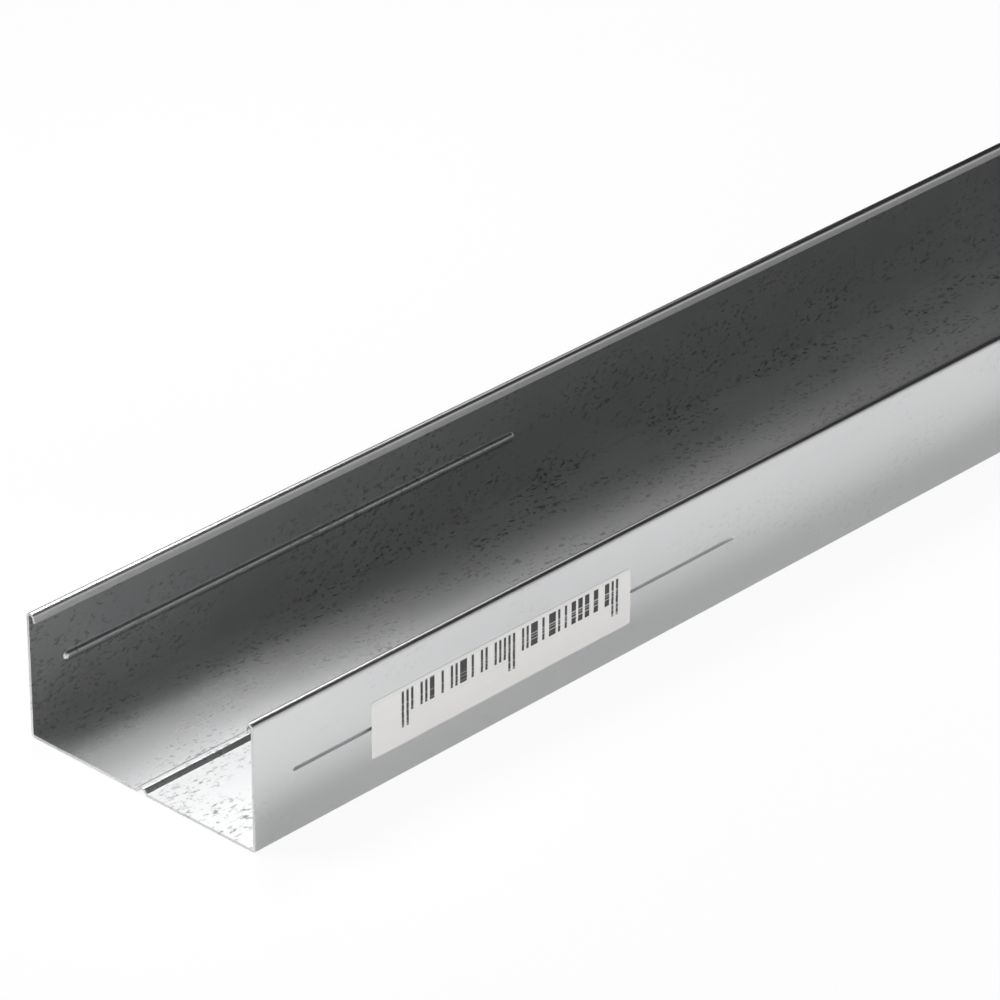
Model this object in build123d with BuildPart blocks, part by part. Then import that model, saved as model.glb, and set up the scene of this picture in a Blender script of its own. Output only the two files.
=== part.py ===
from build123d import *
from math import atan2, degrees, radians, tan
import os

# Ceiling channel: a C section roll-formed from one strip of galvanised sheet steel,
# with an adhesive label on one flange. Millimetres and degrees.
# +X runs along the stock, +Y across it and +Z up through the open side.
# The origin is at mid length and mid width, level with the underside of the web.

# Stock
stock_length = 2600.0
channel_width = 60.0
channel_height = 27.0
sheet_thickness = 0.6
foot_inner_radius = 0.1

# Hooked lips along the tops of the flanges, leaning in from upright
crown_inner_radius = 0.45
lip_lean = 12.0
lip_straight = 1.1

# Rib raised along the middle of the web, its widths measured on its upper side
rib_height = 1.0
rib_land_width = 1.5
rib_base_width = 2.6
rib_inner_radius = 0.12

# Beads pressed outward in the flanges, near each end of the stock
bead_end_gap = 9.5
bead_length = 122.8
bead_depth = 0.4
bead_groove_radius = 0.9

# Adhesive label, stuck over the bead of one flange
label_end_gap = 30.8
label_length = 71.0
label_width = 12.2
label_thickness = 0.1
label_corner_radius = 1.0
label_drop = 1.2

# Places that follow from the sizes above
half_length = stock_length / 2
half_width = channel_width / 2
inner_face = half_width - sheet_thickness
foot_outer_radius = foot_inner_radius + sheet_thickness
crown_outer_radius = crown_inner_radius + sheet_thickness
crown_base_height = channel_height - crown_outer_radius
lip_turn = 180 - lip_lean
rib_outer_radius = rib_inner_radius + sheet_thickness
rib_slope = degrees(atan2(rib_height, (rib_base_width - rib_land_width) / 2))
rib_underside_shift = sheet_thickness * tan(radians(rib_slope / 2))
bead_ridge_radius = bead_groove_radius + sheet_thickness
bead_axis_length = bead_length - 2 * bead_ridge_radius
bead_axis_offset = inner_face + bead_depth - bead_groove_radius
bead_axis_height = channel_height / 2
bead_centre = half_length - bead_end_gap - bead_length / 2
label_centre = half_length - label_end_gap - label_length / 2
label_centre_height = bead_axis_height - label_drop

os.makedirs("parts", exist_ok=True)


# The form that a bead of the given radius takes up in a flange's sheet and outside it
def bead_form(radius):
    with BuildPart() as form:
        with BuildSketch(Plane((bead_centre, bead_axis_offset, bead_axis_height))):
            SlotCenterToCenter(center_separation=bead_axis_length, height=2 * radius)
            split(bisect_by=Plane.XZ, keep=Keep.BOTTOM)
        revolve(axis=Axis((bead_centre, bead_axis_offset, bead_axis_height), (1, 0, 0)))
        split(bisect_by=Plane.XZ.offset(-inner_face), keep=Keep.BOTTOM)
    return form.part


bead_ridge = bead_form(bead_ridge_radius)
bead_groove = bead_form(bead_groove_radius)

# A quarter of the channel, drawn between its upper side and its underside, then mirrored
with BuildPart() as channel:
    with BuildSketch(Plane.YZ):
        with BuildLine():
            upper_side = FilletPolyline(
                (0, sheet_thickness + rib_height),
                (rib_land_width / 2, sheet_thickness + rib_height),
                (rib_base_width / 2, sheet_thickness),
                (inner_face, sheet_thickness),
                (inner_face, crown_base_height),
                radius=(rib_outer_radius, rib_inner_radius, foot_inner_radius),
            )
            upper_crown = JernArc(upper_side @ 1, upper_side % 1, crown_inner_radius, lip_turn)
            upper_lip = PolarLine(upper_crown @ 1, lip_straight, direction=upper_crown % 1)
            underside = FilletPolyline(
                (0, rib_height),
                (rib_land_width / 2 - rib_underside_shift, rib_height),
                (rib_base_width / 2 - rib_underside_shift, 0),
                (half_width, 0),
                (half_width, crown_base_height),
                radius=(rib_inner_radius, rib_outer_radius, foot_outer_radius),
            )
            under_crown = JernArc(underside @ 1, underside % 1, crown_outer_radius, lip_turn)
            under_lip = PolarLine(under_crown @ 1, lip_straight, direction=under_crown % 1)
            Line(upper_lip @ 1, under_lip @ 1)
            Line(upper_side @ 0, underside @ 0)
        make_face()
    extrude(amount=half_length)
    add(bead_ridge)
    add(bead_groove, mode=Mode.SUBTRACT)
    mirror(about=Plane.XZ)
    mirror(about=Plane.YZ)

channel.part.label = "channel"
export_step(channel.part, "parts/channel.step")

# The label lies flat on the flange's outer face and swells over the bead
with BuildPart() as adhesive_label:
    with BuildSketch(Plane.YZ.offset(-label_centre)):
        with Locations((-half_width, label_centre_height)):
            Rectangle(label_thickness, label_width, align=(Align.MAX, Align.CENTER))
        with Locations((-bead_axis_offset, bead_axis_height)):
            Circle(bead_ridge_radius + label_thickness)
            Circle(bead_ridge_radius, mode=Mode.SUBTRACT)
        with Locations((-half_width, label_centre_height)):
            Rectangle(
                bead_depth + label_thickness,
                label_width,
                align=(Align.MAX, Align.CENTER),
                mode=Mode.INTERSECT,
            )
    extrude(amount=label_length / 2, both=True)
    fillet(adhesive_label.edges().filter_by(Axis.Y), radius=label_corner_radius)

adhesive_label.part.label = "adhesive_label"
export_step(adhesive_label.part, "parts/adhesive_label.step")
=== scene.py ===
"""Looks of a length of galvanised ceiling channel with a paper label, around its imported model.

The axes are the frame's own: +X along the stock, +Y across it, +Z up through its open side.
Objects are placed in metres. Classes that shape the sheet or the label work in millimetres.
"""

import logging
import random
from dataclasses import dataclass, field
from enum import Enum
from math import atan2, cos, hypot, pi, radians, sin, tan
from typing import Any

import bmesh
import bpy
import numpy as np
from mathutils import Matrix, Vector


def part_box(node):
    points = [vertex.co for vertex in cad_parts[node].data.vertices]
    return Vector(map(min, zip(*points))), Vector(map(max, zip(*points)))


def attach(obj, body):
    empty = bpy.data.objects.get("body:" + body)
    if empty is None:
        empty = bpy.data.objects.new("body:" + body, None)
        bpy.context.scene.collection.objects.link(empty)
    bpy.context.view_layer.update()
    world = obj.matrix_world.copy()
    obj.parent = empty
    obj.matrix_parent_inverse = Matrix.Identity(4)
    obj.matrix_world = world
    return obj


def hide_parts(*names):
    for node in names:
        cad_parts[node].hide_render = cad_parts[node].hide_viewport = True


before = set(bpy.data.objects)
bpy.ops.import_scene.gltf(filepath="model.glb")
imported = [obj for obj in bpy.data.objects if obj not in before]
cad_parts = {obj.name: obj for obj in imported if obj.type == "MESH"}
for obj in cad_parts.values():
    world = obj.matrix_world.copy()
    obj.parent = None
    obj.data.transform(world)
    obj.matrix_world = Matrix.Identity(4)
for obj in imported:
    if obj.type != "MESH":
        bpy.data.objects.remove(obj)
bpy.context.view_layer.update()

MM = 0.001
# The Mix node's two colour inputs and its colour output, whose names are not unique.
MIX_FIRST, MIX_SECOND, MIX_RESULT = 6, 7, 2
log = logging.getLogger("ceiling_channel")


class Face(Enum):
    """The finishes that the bent sheet's faces take. The value is the material index."""

    INSIDE = 0
    OUTSIDE = 1
    CUT = 2
    GROOVE = 3


class Print(Enum):
    """What the label's paper carries. The value is its material index."""

    BARE = 0
    INKED = 1


class Value:
    """One shader socket, on which sums are written as Python expressions."""

    def __init__(self, graph: "Graph", socket: bpy.types.NodeSocket) -> None:
        """Keeps the socket and the graph that it is in."""
        self.graph = graph
        self.socket = socket

    def _sum(self, operation: str, first: Any, second: Any) -> "Value":
        """Adds one Math node for two numbers or values, and gives its result."""
        return self.graph.value("ShaderNodeMath", {"operation": operation}, {0: first, 1: second})

    def __add__(self, other: Any) -> "Value":
        """This value plus another."""
        return self._sum("ADD", self, other)

    def __radd__(self, other: Any) -> "Value":
        """Another value plus this one."""
        return self._sum("ADD", other, self)

    def __sub__(self, other: Any) -> "Value":
        """This value less another."""
        return self._sum("SUBTRACT", self, other)

    def __rsub__(self, other: Any) -> "Value":
        """Another value less this one."""
        return self._sum("SUBTRACT", other, self)

    def __mul__(self, other: Any) -> "Value":
        """This value times another."""
        return self._sum("MULTIPLY", self, other)

    def __rmul__(self, other: Any) -> "Value":
        """Another value times this one."""
        return self._sum("MULTIPLY", other, self)


class Graph:
    """A node tree of a material or the world, and the one way in which nodes are added to it."""

    def __init__(self, tree: bpy.types.NodeTree) -> None:
        """Empties the tree and keeps it."""
        self.tree = tree
        tree.nodes.clear()

    def node(
        self,
        kind: str,
        settings: dict[str, Any] | None = None,
        inputs: dict[Any, Any] | None = None,
    ) -> bpy.types.Node:
        """Adds a node.

        Args:
            kind: the node's type.
            settings: its settings by name, set before its sockets.
            inputs: numbers, colours, sockets or values, by socket name or number.

        Returns:
            The new node.
        """
        made = self.tree.nodes.new(kind)
        for name, setting in (settings or {}).items():
            setattr(made, name, setting)
        for name, given in (inputs or {}).items():
            socket = made.inputs[name]
            if isinstance(given, Value):
                given = given.socket
            if isinstance(given, bpy.types.NodeSocket):
                self.tree.links.new(given, socket)
            else:
                socket.default_value = given
        return made

    def value(
        self,
        kind: str,
        settings: dict[str, Any] | None = None,
        inputs: dict[Any, Any] | None = None,
        output: Any = 0,
    ) -> Value:
        """Adds a node as node() does, and gives the named or numbered output, ready for sums."""
        return Value(self, self.node(kind, settings, inputs).outputs[output])

    def noise(
        self, lumps: tuple[float, float, float], detail: float = 2.0, rough: float = 0.5
    ) -> Value:
        """A noise pattern from 0 to 1, in the object's own coordinates.

        Args:
            lumps: how many of its lumps there are to a metre along each axis.
            detail: how many finer layers it has.
            rough: how strong the finer layers are.

        Returns:
            The pattern.
        """
        own = self.value("ShaderNodeTexCoord", output="Object")
        place = self.value("ShaderNodeVectorMath", {"operation": "MULTIPLY"}, {0: own, 1: lumps})
        sockets = {"Vector": place, "Scale": 1.0, "Detail": detail, "Roughness": rough}
        return self.value("ShaderNodeTexNoise", {}, sockets)

    def step(self, pattern: Value, start: float, end: float) -> Value:
        """A soft step of a pattern, from 0 at the start value to 1 at the end value."""
        sockets = {"Value": pattern, "From Min": start, "From Max": end}
        return self.value("ShaderNodeMapRange", {"interpolation_type": "SMOOTHSTEP"}, sockets)

    def blend(self, share: Value, first: Any, second: Any) -> Value:
        """Mixes two colours or values of colours, with the share of the second from 0 to 1."""
        sockets = {0: share, MIX_FIRST: first, MIX_SECOND: second}
        return self.value("ShaderNodeMix", {"data_type": "RGBA"}, sockets, MIX_RESULT)

    def bump(self, height: Value, strength: float, distance: float) -> Value:
        """The normal of a relief: its pattern, how strongly it shows and its height in metres."""
        sockets = {"Strength": strength, "Distance": distance, "Height": height}
        return self.value("ShaderNodeBump", {}, sockets, "Normal")

    def mix(self, share: Value, first: bpy.types.Node, second: bpy.types.Node) -> bpy.types.Node:
        """Mixes the shaders of two nodes, with the share of the second from 0 to 1."""
        sockets = {0: share, 1: first.outputs[0], 2: second.outputs[0]}
        return self.node("ShaderNodeMixShader", {}, sockets)

    def finish(self, kind: str, shader: bpy.types.Node) -> None:
        """Ends the graph with an output node of the given type."""
        self.node(kind, {}, {"Surface": shader.outputs[0]})


def new_material(name: str) -> tuple[bpy.types.Material, Graph]:
    """Adds a material without nodes.

    Args:
        name: the material's name.

    Returns:
        The material and its graph.
    """
    material = bpy.data.materials.new(name)
    material.use_nodes = True
    return material, Graph(material.node_tree)


def grey(level: float, warmth: float = 0.0) -> tuple[float, float, float, float]:
    """A near-neutral colour of a linear level, with warmth as red's share over blue."""
    return (level * (1 + warmth / 2), level, level * (1 - warmth / 2), 1.0)


@dataclass(frozen=True)
class Galvanised:
    """A zinc-coated sheet surface, with small dark flecks in loose clusters and a fine grain."""

    name: str
    level: float
    roughness: float
    fleck_amount: float
    cluster_start: float = 0.34
    cluster_end: float = 0.62
    cluster_lumps: tuple[float, float, float] = (45.0, 120.0, 120.0)
    fleck_start: float = 0.52
    fleck_end: float = 0.68
    fleck_lumps: tuple[float, float, float] = (650.0, 1100.0, 1100.0)
    fleck_level: float = 0.28
    fleck_warmth: float = 0.02
    fleck_roughness: float = 0.25
    fleck_relief: float = 0.6
    cloud_lumps: tuple[float, float, float] = (12.0, 40.0, 40.0)
    cloud_levels: tuple[float, float] = (0.94, 1.05)
    cloud_warmths: tuple[float, float] = (-0.02, -0.01)
    cloud_roughness: float = 0.08
    cloud_relief: float = 0.3
    grain_lumps: tuple[float, float, float] = (25.0, 2600.0, 2600.0)
    grain_relief: float = 0.5
    bump_strength: float = 0.12
    bump_height: float = 0.00003

    def make(self) -> bpy.types.Material:
        """Builds the finish.

        Returns:
            Its material.
        """
        material, graph = new_material(self.name)
        clusters = graph.noise(self.cluster_lumps)
        cluster = graph.step(clusters, self.cluster_start, self.cluster_end)
        spots = graph.noise(self.fleck_lumps, detail=3.0, rough=0.6)
        fleck = graph.step(spots, self.fleck_start, self.fleck_end) * cluster * self.fleck_amount
        cloud = graph.noise(self.cloud_lumps, detail=3.0)
        grain = graph.noise(self.grain_lumps)
        dull, bright = (
            grey(self.level * share, warmth)
            for share, warmth in zip(self.cloud_levels, self.cloud_warmths)
        )
        zinc = graph.blend(cloud, dull, bright)
        dark = grey(self.level * self.fleck_level, self.fleck_warmth)
        base = self.roughness - self.cloud_roughness / 2
        height = grain * self.grain_relief + cloud * self.cloud_relief - fleck * self.fleck_relief
        sockets = {
            "Base Color": graph.blend(fleck, zinc, dark),
            "Metallic": 1.0,
            "Roughness": cloud * self.cloud_roughness + fleck * self.fleck_roughness + base,
            "Normal": graph.bump(height, self.bump_strength, self.bump_height),
        }
        shader = graph.node("ShaderNodeBsdfPrincipled", {}, sockets)
        graph.finish("ShaderNodeOutputMaterial", shader)
        return material


@dataclass(frozen=True)
class Paper:
    """Matt label paper, either bare or under a thin printed ink that scratches have broken, with
    painted shade along its creases.
    """

    name: str
    inked: bool = False
    level: float = 0.7
    warmth: float = 0.02
    roughness: float = 0.5
    ink_level: float = 0.035
    fibre_lumps: tuple[float, float, float] = (1800.0, 1800.0, 1800.0)
    fibre_levels: tuple[float, float] = (0.96, 1.03)
    fibre_roughness: float = 0.15
    fibre_relief: float = 0.4
    crease_lumps: tuple[float, float, float] = (6.0, 900.0, 900.0)
    crease_start: float = 0.62
    crease_end: float = 0.72
    # These two set the painted shade along the creases: how dark the paper is painted there, and
    # how much of it shows.
    crease_shade_level: float = 0.8
    crease_shade_amount: float = 0.25
    crease_relief: float = 0.6
    scratch_lumps: tuple[float, float, float] = (8.0, 2600.0, 2600.0)
    scratch_start: float = 0.56
    scratch_end: float = 0.63
    scratch_amount: float = 0.6
    bump_strength: float = 0.2
    bump_height: float = 0.00002

    def make(self) -> bpy.types.Material:
        """Builds the finish.

        Returns:
            Its material.
        """
        material, graph = new_material(self.name)
        fibre = graph.noise(self.fibre_lumps, detail=4.0, rough=0.6)
        folds = graph.noise(self.crease_lumps, detail=1.0)
        crease = graph.step(folds, self.crease_start, self.crease_end)
        dull, bright = (grey(self.level * share, self.warmth) for share in self.fibre_levels)
        # Painted shade: the paper is painted darker along the crease lines, standing in for the
        # shade in the folds.
        crease_shade = grey(self.level * self.crease_shade_level, self.warmth)
        sheet = graph.blend(crease * self.crease_shade_amount, graph.blend(fibre, dull, bright), crease_shade)
        if self.inked:
            lines = graph.noise(self.scratch_lumps, rough=0.6)
            scratch = graph.step(lines, self.scratch_start, self.scratch_end)
            sheet = graph.blend(scratch * self.scratch_amount, grey(self.ink_level), sheet)
        height = fibre * self.fibre_relief - crease * self.crease_relief
        sockets = {
            "Base Color": sheet,
            "Roughness": fibre * self.fibre_roughness + self.roughness,
            "Normal": graph.bump(height, self.bump_strength, self.bump_height),
        }
        shader = graph.node("ShaderNodeBsdfPrincipled", {}, sockets)
        graph.finish("ShaderNodeOutputMaterial", shader)
        return material


@dataclass(frozen=True)
class Bead:
    """A bead pressed in near each end of a flange, a groove outside and a ridge inside.

    Sizes are in millimetres, and its start and end are distances from the stock's end.
    """

    height: float
    start: float
    end: float
    depth: float = 0.8
    ridge_radius: float = 1.0
    ridge_softness: float = 0.35
    groove_radius: float = 0.29
    groove_softness: float = 0.05
    wall_slope: float = 6.0
    wall_margin: float = 0.12
    foot_margin: float = 0.3
    end_margin: float = 0.35
    wall_rows: int = 10
    foot_rows: int = 14
    end_stations: int = 13

    def press(self, face: Face, half_length: float, x: np.ndarray, z: np.ndarray) -> np.ndarray:
        """How far one face of the flange is pushed in.

        Args:
            face: the flange's inside, which has the ridge, or its outside, which has the groove.
            half_length: half the stock's length.
            x: places along the stock.
            z: heights above the web's underside.

        Returns:
            The push at each place.
        """
        inside = face is Face.INSIDE
        radius = self.ridge_radius if inside else self.groove_radius
        softness = self.ridge_softness if inside else self.groove_softness
        gap = half_length - np.abs(x)
        past = np.maximum(np.maximum(self.start - gap, gap - self.end), 0.0)
        away = np.hypot(past, z - self.height)
        cap = np.sqrt(np.maximum(radius**2 - away**2, 0.0))
        rise = self.depth - radius + cap - self.wall_slope * np.maximum(away - radius, 0.0)
        return (rise + np.sqrt(rise**2 + softness**2)) / 2

    def rows(self) -> list[float]:
        """Heights at which the section has points, close together on the groove's walls.

        Returns:
            The heights, in order.
        """
        wall = self.groove_radius + self.wall_margin
        foot = self.ridge_radius + self.foot_margin
        walls, feet = np.linspace(0, wall, self.wall_rows), np.linspace(wall, foot, self.foot_rows)
        reach = np.unique(np.concatenate([walls, feet, [foot + self.foot_margin]]))
        return [self.height + float(step) for step in np.concatenate([-reach[:0:-1], reach])]

    def stations(self) -> list[float]:
        """Distances from the stock's end at which the section is repeated.

        Returns:
            The distances, close together at the bead's two ends.
        """
        foot = self.ridge_radius + self.end_margin
        spans = ((self.start - foot, self.start), (self.end, self.end + foot))
        ends = [np.linspace(first, last, self.end_stations) for first, last in spans]
        return [float(step) for step in np.concatenate(ends)]


@dataclass
class Section:
    """The bent strip's section, walked along the middle of its thickness. Sizes in millimetres."""

    width: float = 60.0
    height: float = 27.0
    sheet: float = 0.6
    foot_radius: float = 0.1
    crown_radius: float = 0.45
    lip_lean: float = 18.0
    lip_straight: float = 1.1
    rib_height: float = 0.85
    rib_land: float = 1.5
    rib_base: float = 3.0
    rib_radius: float = 0.12
    support: float = 0.05
    rib_facets: int = 7
    foot_facets: int = 8
    crown_facets: int = 22
    web_parts: int = 6
    points: list[tuple[float, float, float]] = field(default_factory=list)

    def straight(self, length: float, stops: list[float] | None = None) -> None:
        """Walks straight on.

        Args:
            length: how far.
            stops: distances at which points are added, besides those near the two ends.
        """
        y, z, heading = self.points[-1]
        marks = [self.support, *(stops or []), length - self.support, length]
        for mark in (m for m in marks if 0 < m <= length):
            self.points.append((y + mark * cos(heading), z + mark * sin(heading), heading))

    def bend(self, angle: float, inner_radius: float, facets: int) -> None:
        """Walks round a bend.

        Args:
            angle: how far it turns, in radians, positive to the left.
            inner_radius: the radius on the bend's inner side.
            facets: how many facets it has.
        """
        y, z, heading = self.points[-1]
        side = 1 if angle > 0 else -1
        reach = side * (inner_radius + self.sheet / 2)
        centre_y, centre_z = y - reach * sin(heading), z + reach * cos(heading)
        for facet in range(1, facets + 1):
            turned = heading + angle * facet / facets
            self.points.append(
                (centre_y + reach * sin(turned), centre_z - reach * cos(turned), turned)
            )

    def half(self, bead: Bead) -> np.ndarray:
        """Walks from the middle of the rib to the tip of the lip on the +Y side.

        Args:
            bead: the bead of the flange.

        Returns:
            One row for each point: its y and z, and its heading.
        """
        flank_width = (self.rib_base - self.rib_land) / 2
        slope = atan2(self.rib_height, flank_width)
        land_tangent = (self.rib_radius + self.sheet) * tan(slope / 2)
        base_tangent = self.rib_radius * tan(slope / 2)
        flank = hypot(self.rib_height, flank_width)
        inner_face = self.width / 2 - self.sheet
        self.points = [(0.0, self.rib_height + self.sheet / 2, 0.0)]
        self.straight(self.rib_land / 2 - land_tangent)
        self.bend(-slope, self.rib_radius, self.rib_facets)
        self.straight(flank - land_tangent - base_tangent)
        self.bend(slope, self.rib_radius, self.rib_facets)
        web = inner_face - self.foot_radius - self.rib_base / 2 - base_tangent
        self.straight(web, [web * part / self.web_parts for part in range(1, self.web_parts)])
        self.bend(pi / 2, self.foot_radius, self.foot_facets)
        bottom = self.sheet + self.foot_radius
        crown_base = self.height - self.crown_radius - self.sheet
        self.straight(crown_base - bottom, [row - bottom for row in bead.rows()])
        self.bend(pi - radians(self.lip_lean), self.crown_radius, self.crown_facets)
        self.straight(self.lip_straight)
        return np.array(self.points)

    def strip(self, left: Bead, right: Bead) -> tuple[np.ndarray, np.ndarray]:
        """The whole strip's two faces, from one lip to the other.

        Args:
            left: the bead of the -Y flange.
            right: the bead of the +Y flange.

        Returns:
            The y and z of the inner face's points, and of the outer face's.
        """
        halves = [self.half(bead) for bead in (left, right)]
        faces = []
        for side in (1, -1):
            near, far = (
                half[:, :2]
                + side * self.sheet / 2 * np.column_stack([-np.sin(half[:, 2]), np.cos(half[:, 2])])
                for half in halves
            )
            faces.append(np.vstack([near[:0:-1] * (-1, 1), far]))
        return faces[0], faces[1]


@dataclass
class Channel:
    """The roll-formed channel, one bent strip of galvanised sheet. Sizes in millimetres."""

    node: str = "channel"
    slot: str = "galvanised_steel"
    section: Section = field(default_factory=Section)
    left_bead: Bead = Bead(13.5, 10.3, 130.2)
    right_bead: Bead = Bead(13.95, 9.2, 129.7)
    # Painted shade: the inside takes the same zinc as the outside at a lower level (0.57 against
    # 0.71), darkening the channel's inside as its shade would.
    inside: Galvanised = Galvanised("galvanised_inside_painted_shade", 0.57, 0.34, 0.85)
    outside: Galvanised = Galvanised("galvanised_outside", 0.71, 0.3, 0.14, 0.5)
    cut: Galvanised = Galvanised("sheared_edge", 0.6, 0.42, 0.5)
    groove: Galvanised = Galvanised("grooved_zinc", 0.72, 0.45, 0.1)
    groove_start: float = 0.12
    along_beads: int = 13
    along_plain: int = 16
    crisp_fold: float = 35.0

    def stations(self, half_length: float) -> np.ndarray:
        """Places along the stock at which the section is repeated.

        Args:
            half_length: half the stock's length.

        Returns:
            The places, in order.
        """
        fine = self.left_bead.stations() + self.right_bead.stations()
        between = np.linspace(self.left_bead.start, self.right_bead.end, self.along_beads)[1:-1]
        beyond = np.linspace(max(fine), half_length, self.along_plain)[1:]
        gaps = np.unique(np.round([0.0, min(fine) / 2, *fine, *between, *beyond], 4))
        side = gaps - half_length
        return np.concatenate([side, -side[-2::-1]])

    def build(self) -> bpy.types.Object:
        """Builds and dresses the channel.

        Returns:
            The channel's object.
        """
        half_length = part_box(self.node)[1].x / MM
        inner, outer = self.section.strip(self.left_bead, self.right_bead)
        along = self.stations(half_length)
        count, rings = len(inner), len(along)
        vertices = np.zeros((rings, 2 * count, 3))
        vertices[:, :, 0] = along[:, None]
        pressed = np.zeros((rings, 2 * count), dtype=bool)
        x = np.repeat(along[:, None], count, axis=1)
        for start, points, face in ((0, inner, Face.INSIDE), (count, outer, Face.OUTSIDE)):
            y = np.repeat(points[None, :, 0], rings, axis=0)
            z = np.repeat(points[None, :, 1], rings, axis=0)
            left = self.left_bead.press(face, half_length, x, z)
            right = self.right_bead.press(face, half_length, x, z)
            push = np.where(y < 0, left, right)
            here = slice(start, start + count)
            vertices[:, here, 1] = y - np.sign(y) * push
            vertices[:, here, 2] = z
            pressed[:, here] = (push > self.groove_start) & (face is Face.OUTSIDE)
        faces, finishes = self.skin(count, rings, pressed)
        mesh = bpy.data.meshes.new("channel_sheet")
        mesh.from_pydata((vertices.reshape(-1, 3) * MM).tolist(), [], faces)
        mesh.polygons.foreach_set("material_index", finishes)
        piece = put("channel_sheet", mesh)
        smooth(mesh, self.crisp_fold)
        for finish in (self.inside, self.outside, self.cut, self.groove):
            mesh.materials.append(finish.make())
        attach(piece, "root")
        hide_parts(self.node)
        log.info("%s: %d faces, %.0f mm long", piece.name, len(mesh.polygons), 2 * half_length)
        return piece

    def skin(
        self, count: int, rings: int, pressed: np.ndarray
    ) -> tuple[list[tuple[int, ...]], list[int]]:
        """The faces that close the strip.

        Args:
            count: how many points each face of the section has.
            rings: how many sections there are.
            pressed: for each point, whether it lies in a groove.

        Returns:
            The faces by their corners, and the material index of each.
        """
        around = 2 * count
        loop = list(range(count)) + list(range(around - 1, count - 1, -1))
        faces: list[tuple[int, ...]] = []
        finishes: list[int] = []
        for ring in range(rings - 1):
            here, there = ring * around, (ring + 1) * around
            for spot in range(around):
                a, b = loop[spot], loop[(spot + 1) % around]
                faces.append((here + a, here + b, there + b, there + a))
                if spot in (count - 1, around - 1):
                    finish = Face.CUT
                elif pressed[ring : ring + 2, [a, b]].any():
                    finish = Face.GROOVE
                else:
                    finish = Face.INSIDE if spot < count else Face.OUTSIDE
                finishes.append(finish.value)
        for base in (0, (rings - 1) * around):
            for spot in range(base, base + count - 1):
                faces.append((spot, spot + count, spot + count + 1, spot + 1))
                finishes.append(Face.CUT.value)
        return faces, finishes


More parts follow.
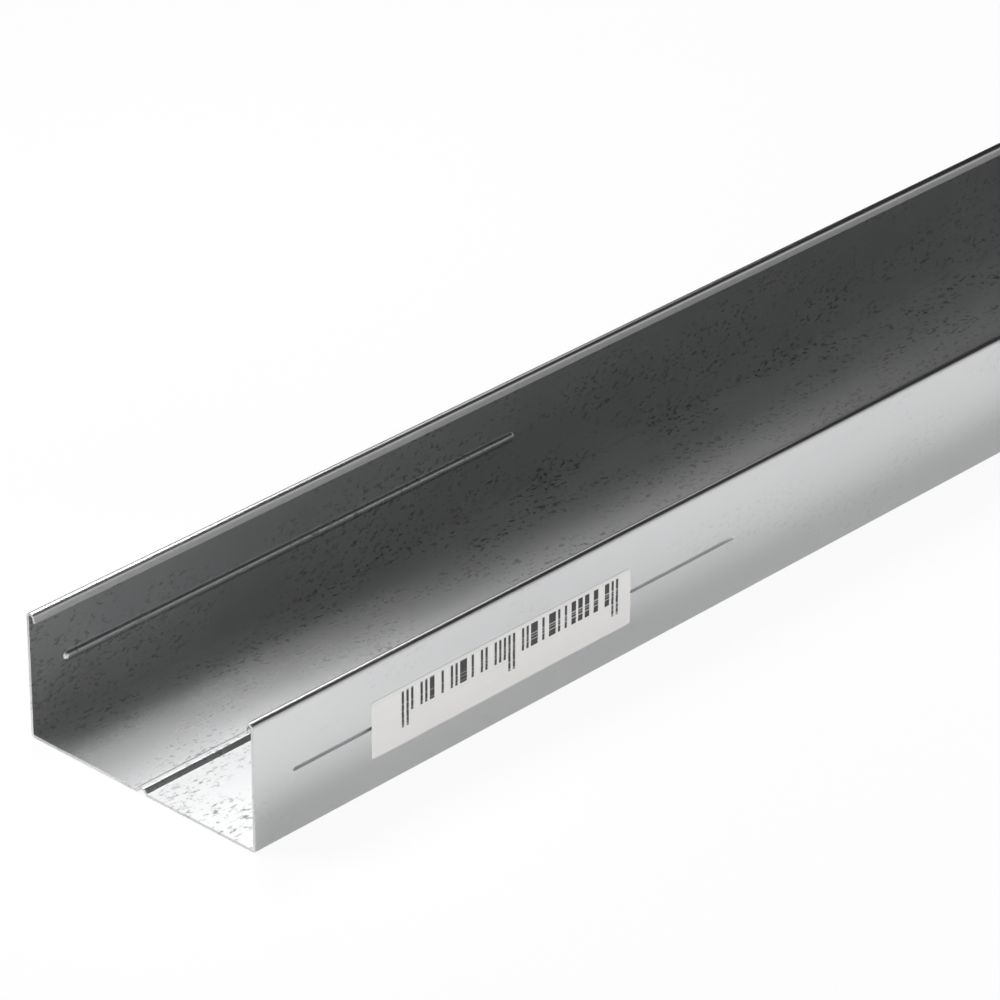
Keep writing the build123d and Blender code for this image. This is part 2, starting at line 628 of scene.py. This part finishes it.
@dataclass
class Label:
    """The paper label on the -Y flange, with a plain row of printed bars. Sizes in millimetres."""

    channel: Channel
    node: str = "adhesive_label"
    slot: str = "label_paper"
    start_gap: float = 30.15
    end_gap: float = 100.4
    bottom: float = 6.74
    top: float = 18.8
    thickness: float = 0.06
    corner: float = 0.4
    corner_parts: int = 6
    sink: float = 0.04
    sink_width: float = 0.4
    sink_step: float = 0.15
    sink_rows: int = 7
    bars_start: float = 37.95
    module: float = 0.6208
    modules: int = 95
    bar_widths: tuple[int, ...] = (1, 1, 2, 3)
    guard: tuple[bool, ...] = (False, True, False, True, False)
    bars_low: float = 13.1
    bars_high: float = 17.95
    guard_low: float = 10.2
    seed: int = 5
    tolerance: float = 0.001
    paper: Paper = Paper("label_paper")
    ink: Paper = Paper("label_ink", inked=True)

    def guard_starts(self) -> tuple[int, int, int]:
        """The first modules of the guards at the row's start, middle and end."""
        return (0, self.modules // 2 - 1, self.modules - 3)

    def pattern(self) -> list[bool]:
        """A plain run of bars that stands for no number.

        Returns:
            For each module, whether it is printed.
        """
        chance = random.Random(self.seed)
        printed: list[bool] = []
        dark = True
        while len(printed) < self.modules:
            printed += [dark] * chance.choice(self.bar_widths)
            dark = not dark
        printed = printed[: self.modules]
        for start in self.guard_starts():
            for number, dark in enumerate(self.guard, start - 1):
                if 0 <= number < self.modules:
                    printed[number] = dark
        return printed

    def columns(self, start: float, end: float, first_bar: float) -> list[float]:
        """Places along the stock at which the sheet has points.

        Args:
            start: the label's near edge.
            end: its far edge.
            first_bar: where the row of bars starts.

        Returns:
            The places, in order.
        """
        parts = range(self.corner_parts + 1)
        corners = [self.corner * (1 - cos(pi / 2 * part / self.corner_parts)) for part in parts]
        bars = {round(first_bar + self.module * part, 4) for part in range(self.modules + 1)}
        ends = {round(place, 4) for c in corners for place in (start + c, end - c)}
        return sorted(ends | bars)

    def rows(self, groove: float) -> list[float]:
        """Heights at which the sheet has points.

        Args:
            groove: the height of the groove that it covers.

        Returns:
            The heights, in order.
        """
        edges = {self.bottom, self.bottom + self.corner, self.top - self.corner, self.top}
        print_edges = {self.guard_low, self.bars_low, self.bars_high}
        parts = range(-self.sink_rows, self.sink_rows + 1)
        return sorted(edges | print_edges | {round(groove + self.sink_step * p, 4) for p in parts})

    def build(self) -> bpy.types.Object:
        """Builds and dresses the label.

        Returns:
            The label's object.
        """
        half_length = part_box(self.channel.node)[1].x / MM
        start, end = self.start_gap - half_length, self.end_gap - half_length
        first_bar = self.bars_start - half_length
        groove = self.channel.left_bead.height
        columns, rows = self.columns(start, end, first_bar), self.rows(groove)
        body = bmesh.new()
        grid = []
        for x in columns:
            inset = self.corner_inset(min(x - start, end - x))
            heights = np.clip(np.array(rows), self.bottom + inset, self.top - inset)
            dip = self.sink * np.exp(-(((heights - groove) / self.sink_width) ** 2))
            y = dip - self.channel.section.width / 2 - self.thickness
            grid.append([body.verts.new((x * MM, a * MM, b * MM)) for a, b in zip(y, heights)])
        printed = self.pattern()
        guards = {start + step for start in self.guard_starts() for step in (0, 2)}
        for column, (here, there) in enumerate(zip(grid, grid[1:])):
            number = round((columns[column] - first_bar) / self.module)
            on_bar = 0 <= number < self.modules and printed[number]
            low = (self.guard_low if number in guards else self.bars_low) - self.tolerance
            high = self.bars_high + self.tolerance
            for row in range(len(rows) - 1):
                inked = on_bar and rows[row] >= low and rows[row + 1] <= high
                quad = body.faces.new((here[row], there[row], there[row + 1], here[row + 1]))
                quad.material_index = (Print.INKED if inked else Print.BARE).value
        bmesh.ops.remove_doubles(body, verts=body.verts, dist=1e-7)
        mesh = bpy.data.meshes.new("printed_label")
        body.to_mesh(mesh)
        body.free()
        piece = put("printed_label", mesh)
        thick = piece.modifiers.new("thickness", "SOLIDIFY")
        thick.thickness = self.thickness * MM
        thick.offset = -1.0
        for finish in (self.paper, self.ink):
            mesh.materials.append(finish.make())
        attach(piece, "root")
        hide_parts(self.node)
        log.info("%s: %d faces, %d bars wide", piece.name, len(mesh.polygons), self.modules)
        return piece

    def corner_inset(self, gap: float) -> float:
        """How far the label's long edges are drawn in by its rounded corners.

        Args:
            gap: the distance from the nearer short edge.

        Returns:
            The inset there.
        """
        if gap >= self.corner:
            return 0.0
        return self.corner - (self.corner**2 - (self.corner - max(gap, 0.0)) ** 2) ** 0.5


def put(name: str, data: bpy.types.ID) -> bpy.types.Object:
    """Adds an object to the scene.

    Args:
        name: the object's name.
        data: its mesh, lamp or camera.

    Returns:
        The object.
    """
    added = bpy.data.objects.new(name, data)
    bpy.context.scene.collection.objects.link(added)
    return added


def smooth(mesh: bpy.types.Mesh, fold: float) -> None:
    """Shades a mesh smooth, with crisp edges where it folds.

    Args:
        mesh: the mesh.
        fold: the angle between faces, in degrees, from which an edge is crisp.
    """
    body = bmesh.new()
    body.from_mesh(mesh)
    bmesh.ops.recalc_face_normals(body, faces=body.faces)
    body.to_mesh(mesh)
    body.free()
    mesh.polygons.foreach_set("use_smooth", [True] * len(mesh.polygons))
    mesh.set_sharp_from_angle(angle=radians(fold))


@dataclass(frozen=True)
class SoftLight:
    """A square lamp aimed at the photographed end. Metres, watts and degrees."""

    place: tuple[float, float, float]
    power: float
    size: float = 0.15
    target: tuple[float, float, float] = (-1.25, 0.0, 0.0)
    spread: float = 180.0

    def hang(self) -> None:
        """Hangs the lamp."""
        lamp = bpy.data.lights.new("soft_light", "AREA")
        lamp.shape = "SQUARE"
        lamp.size = self.size
        lamp.energy = self.power
        lamp.spread = radians(self.spread)
        holder = put("soft_light", lamp)
        place, target = Vector(self.place), Vector(self.target)
        holder.location = place
        holder.rotation_euler = (target - place).to_track_quat("-Z", "Y").to_euler()


@dataclass(frozen=True)
class SkyPatch:
    """A soft round patch of sky. Degrees, with 0 along +X and 90 along +Y."""

    azimuth: float
    elevation: float
    core: float
    edge: float
    level: float

    def light(self, graph: Graph, direction: Value) -> Value:
        """The patch's light.

        Args:
            graph: the world's graph.
            direction: the direction looked in.

        Returns:
            Its level there.
        """
        turn, rise = radians(self.azimuth), radians(self.elevation)
        centre = (cos(rise) * cos(turn), cos(rise) * sin(turn), sin(rise))
        operation, sockets = {"operation": "DOT_PRODUCT"}, {0: direction, 1: centre}
        nearness = graph.value("ShaderNodeVectorMath", operation, sockets, "Value")
        return graph.step(nearness, cos(radians(self.edge)), cos(radians(self.core))) * self.level


@dataclass
class Studio:
    """A pale floor, soft light and the camera at the photograph's viewing angle.

    Lengths are in metres and angles in degrees. The low sky's spans are ranges of a direction's
    Z, Y and X, over which it fades out upwards and towards +Y, and partly towards +X.
    """

    floor_reach: float = 6.0
    floor_drop: float = 0.0002
    floor_level: float = 0.95
    floor_white: float = 0.92
    floor_mirrored_white: float = 0.2
    low_sky: float = 1.2
    low_sky_top: tuple[float, float] = (0.4, 0.5)
    low_sky_back: tuple[float, float] = (-0.1, 0.1)
    low_sky_right: tuple[float, float] = (-0.1, 0.3)
    low_sky_right_loss: float = 0.5
    sky_peak: float = 20.0
    patches: tuple[SkyPatch, ...] = (
        SkyPatch(-135.0, 2.0, 5.0, 18.0, 14.0),
        SkyPatch(125.0, 55.0, 8.0, 16.0, 14.0),
        SkyPatch(-125.0, 40.0, 15.0, 35.0, 0.5),
    )
    lamps: tuple[SoftLight, ...] = (
        SoftLight((-1.15, 0.17, 0.23), 0.16),
        SoftLight((-1.0, 0.18, 0.25), 0.07),
        SoftLight((-1.225, 0.075, 0.2), 0.02, 0.08, (-1.285, 0.015, 0.0), 40.0),
    )
    camera_place: tuple[float, float, float] = (-1.923902, -0.68197, 0.56432)
    camera_heading: float = 43.455
    camera_tilt: float = 28.587
    camera_roll: float = 0.129
    camera_reach: float = 50.0
    lens: float = 210.784
    sensor: float = 36.0

    def build(self) -> None:
        """Sets the floor, the world, the lamps and the camera."""
        self.floor()
        self.world()
        for lamp in self.lamps:
            lamp.hang()
        self.camera()
        bpy.context.scene.view_settings.view_transform = "Standard"
        log.info("studio: floor, world, %d lamps and camera", len(self.lamps))

    def white_share(self, graph: Graph) -> Value:
        """How much of the floor is plain white for a ray.

        Args:
            graph: the floor's graph.

        Returns:
            Most of it for the camera and through clear things, some in mirrors, otherwise none.
        """
        path = graph.node("ShaderNodeLightPath").outputs
        camera, glossy, clear = (
            Value(graph, path[name])
            for name in ("Is Camera Ray", "Is Glossy Ray", "Is Transmission Ray")
        )
        straight = graph.value("ShaderNodeMath", {"operation": "MAXIMUM"}, {0: camera, 1: clear})
        return straight * self.floor_white + glossy * self.floor_mirrored_white

    def floor(self) -> None:
        """Lays the floor under the stock."""
        mesh = bpy.data.meshes.new("floor")
        reach = self.floor_reach
        corners = [(-reach, -reach, 0), (reach, -reach, 0), (reach, reach, 0), (-reach, reach, 0)]
        mesh.from_pydata(corners, [], [(0, 1, 2, 3)])
        piece = put("floor", mesh)
        piece.location.z = -self.floor_drop
        material, graph = new_material("floor")
        lit = graph.node("ShaderNodeBsdfDiffuse", {}, {"Color": grey(self.floor_level)})
        white = graph.node("ShaderNodeEmission", {}, {"Color": grey(1.0), "Strength": 1.0})
        mixed = graph.mix(self.white_share(graph), lit, white)
        graph.finish("ShaderNodeOutputMaterial", mixed)
        mesh.materials.append(material)

    def world(self) -> None:
        """Lights the scene from a dark sky with a pale low part and a few soft patches."""
        world = bpy.data.worlds.new("studio")
        bpy.context.scene.world = world
        world.use_nodes = True
        graph = Graph(world.node_tree)
        direction = graph.value("ShaderNodeTexCoord", output="Generated")
        parts = graph.node("ShaderNodeSeparateXYZ", {}, {0: direction}).outputs
        low = 1.0 - graph.step(Value(graph, parts["Z"]), *self.low_sky_top)
        front = 1.0 - graph.step(Value(graph, parts["Y"]), *self.low_sky_back)
        right = graph.step(Value(graph, parts["X"]), *self.low_sky_right)
        level = low * front * (1.0 - right * self.low_sky_right_loss) * self.low_sky
        for patch in self.patches:
            level = level + patch.light(graph, direction)
        sky = graph.blend(level * (1 / self.sky_peak), grey(0.0), grey(1.0))
        lit = graph.node("ShaderNodeBackground", {}, {"Color": sky, "Strength": self.sky_peak})
        white = graph.node("ShaderNodeBackground", {}, {"Color": grey(1.0), "Strength": 1.0})
        camera = graph.value("ShaderNodeLightPath", output="Is Camera Ray")
        graph.finish("ShaderNodeOutputWorld", graph.mix(camera, lit, white))

    def camera(self) -> None:
        """Sets the camera at the photograph's viewing angle."""
        data = bpy.data.cameras.new("camera")
        data.lens = self.lens
        data.sensor_width = self.sensor
        data.clip_end = self.camera_reach
        holder = put("camera", data)
        turn = (
            Matrix.Rotation(radians(self.camera_heading - 90), 4, "Z")
            @ Matrix.Rotation(radians(90 - self.camera_tilt), 4, "X")
            @ Matrix.Rotation(radians(self.camera_roll), 4, "Z")
        )
        holder.matrix_world = Matrix.Translation(self.camera_place) @ turn
        bpy.context.scene.camera = holder


def main() -> None:
    """Builds the channel, its label and the studio."""
    logging.basicConfig(level=logging.INFO, format="%(name)s: %(message)s")
    channel = Channel()
    channel.build()
    Label(channel).build()
    Studio().build()


if __name__ == "__main__":
    main()
